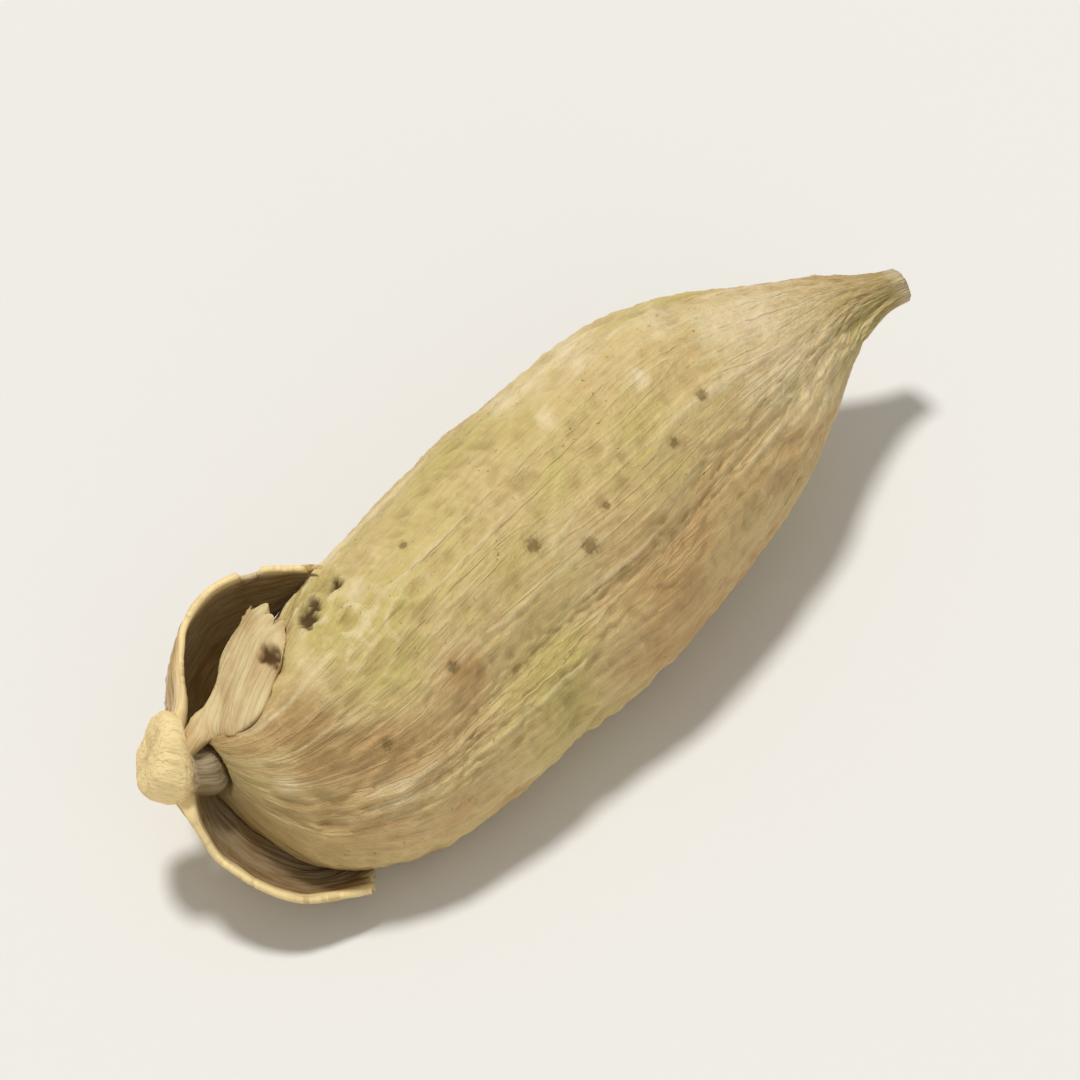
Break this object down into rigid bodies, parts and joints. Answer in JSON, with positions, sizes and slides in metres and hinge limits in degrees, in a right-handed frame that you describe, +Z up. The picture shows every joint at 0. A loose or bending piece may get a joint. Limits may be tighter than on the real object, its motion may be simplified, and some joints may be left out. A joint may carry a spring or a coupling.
{
  "type": "cardamom pod",
  "caption": "Dried green cardamom pod, a ribbed three-cornered capsule lying on its side, with a stub of stalk and the torn lobes of its withered bract.",
  "frame": {"origin": "on the surface it rests on, below the middle of the whole part's box", "axes": "+X along the pod from the stalk to the tip, +Z up, and one blunt corner of the pod points up"},
  "size_m": [0.0202, 0.007, 0.0063],
  "materials": {
    "husk": "dried papery fruit husk, pale straw with a green cast, fine ribs along it",
    "stalk": "dry fibrous stalk and bract, paler than the husk"
  },
  "bodies": {
    "root": {"pod": "husk", "stalk": "stalk"}
  },
  "joints": []
}
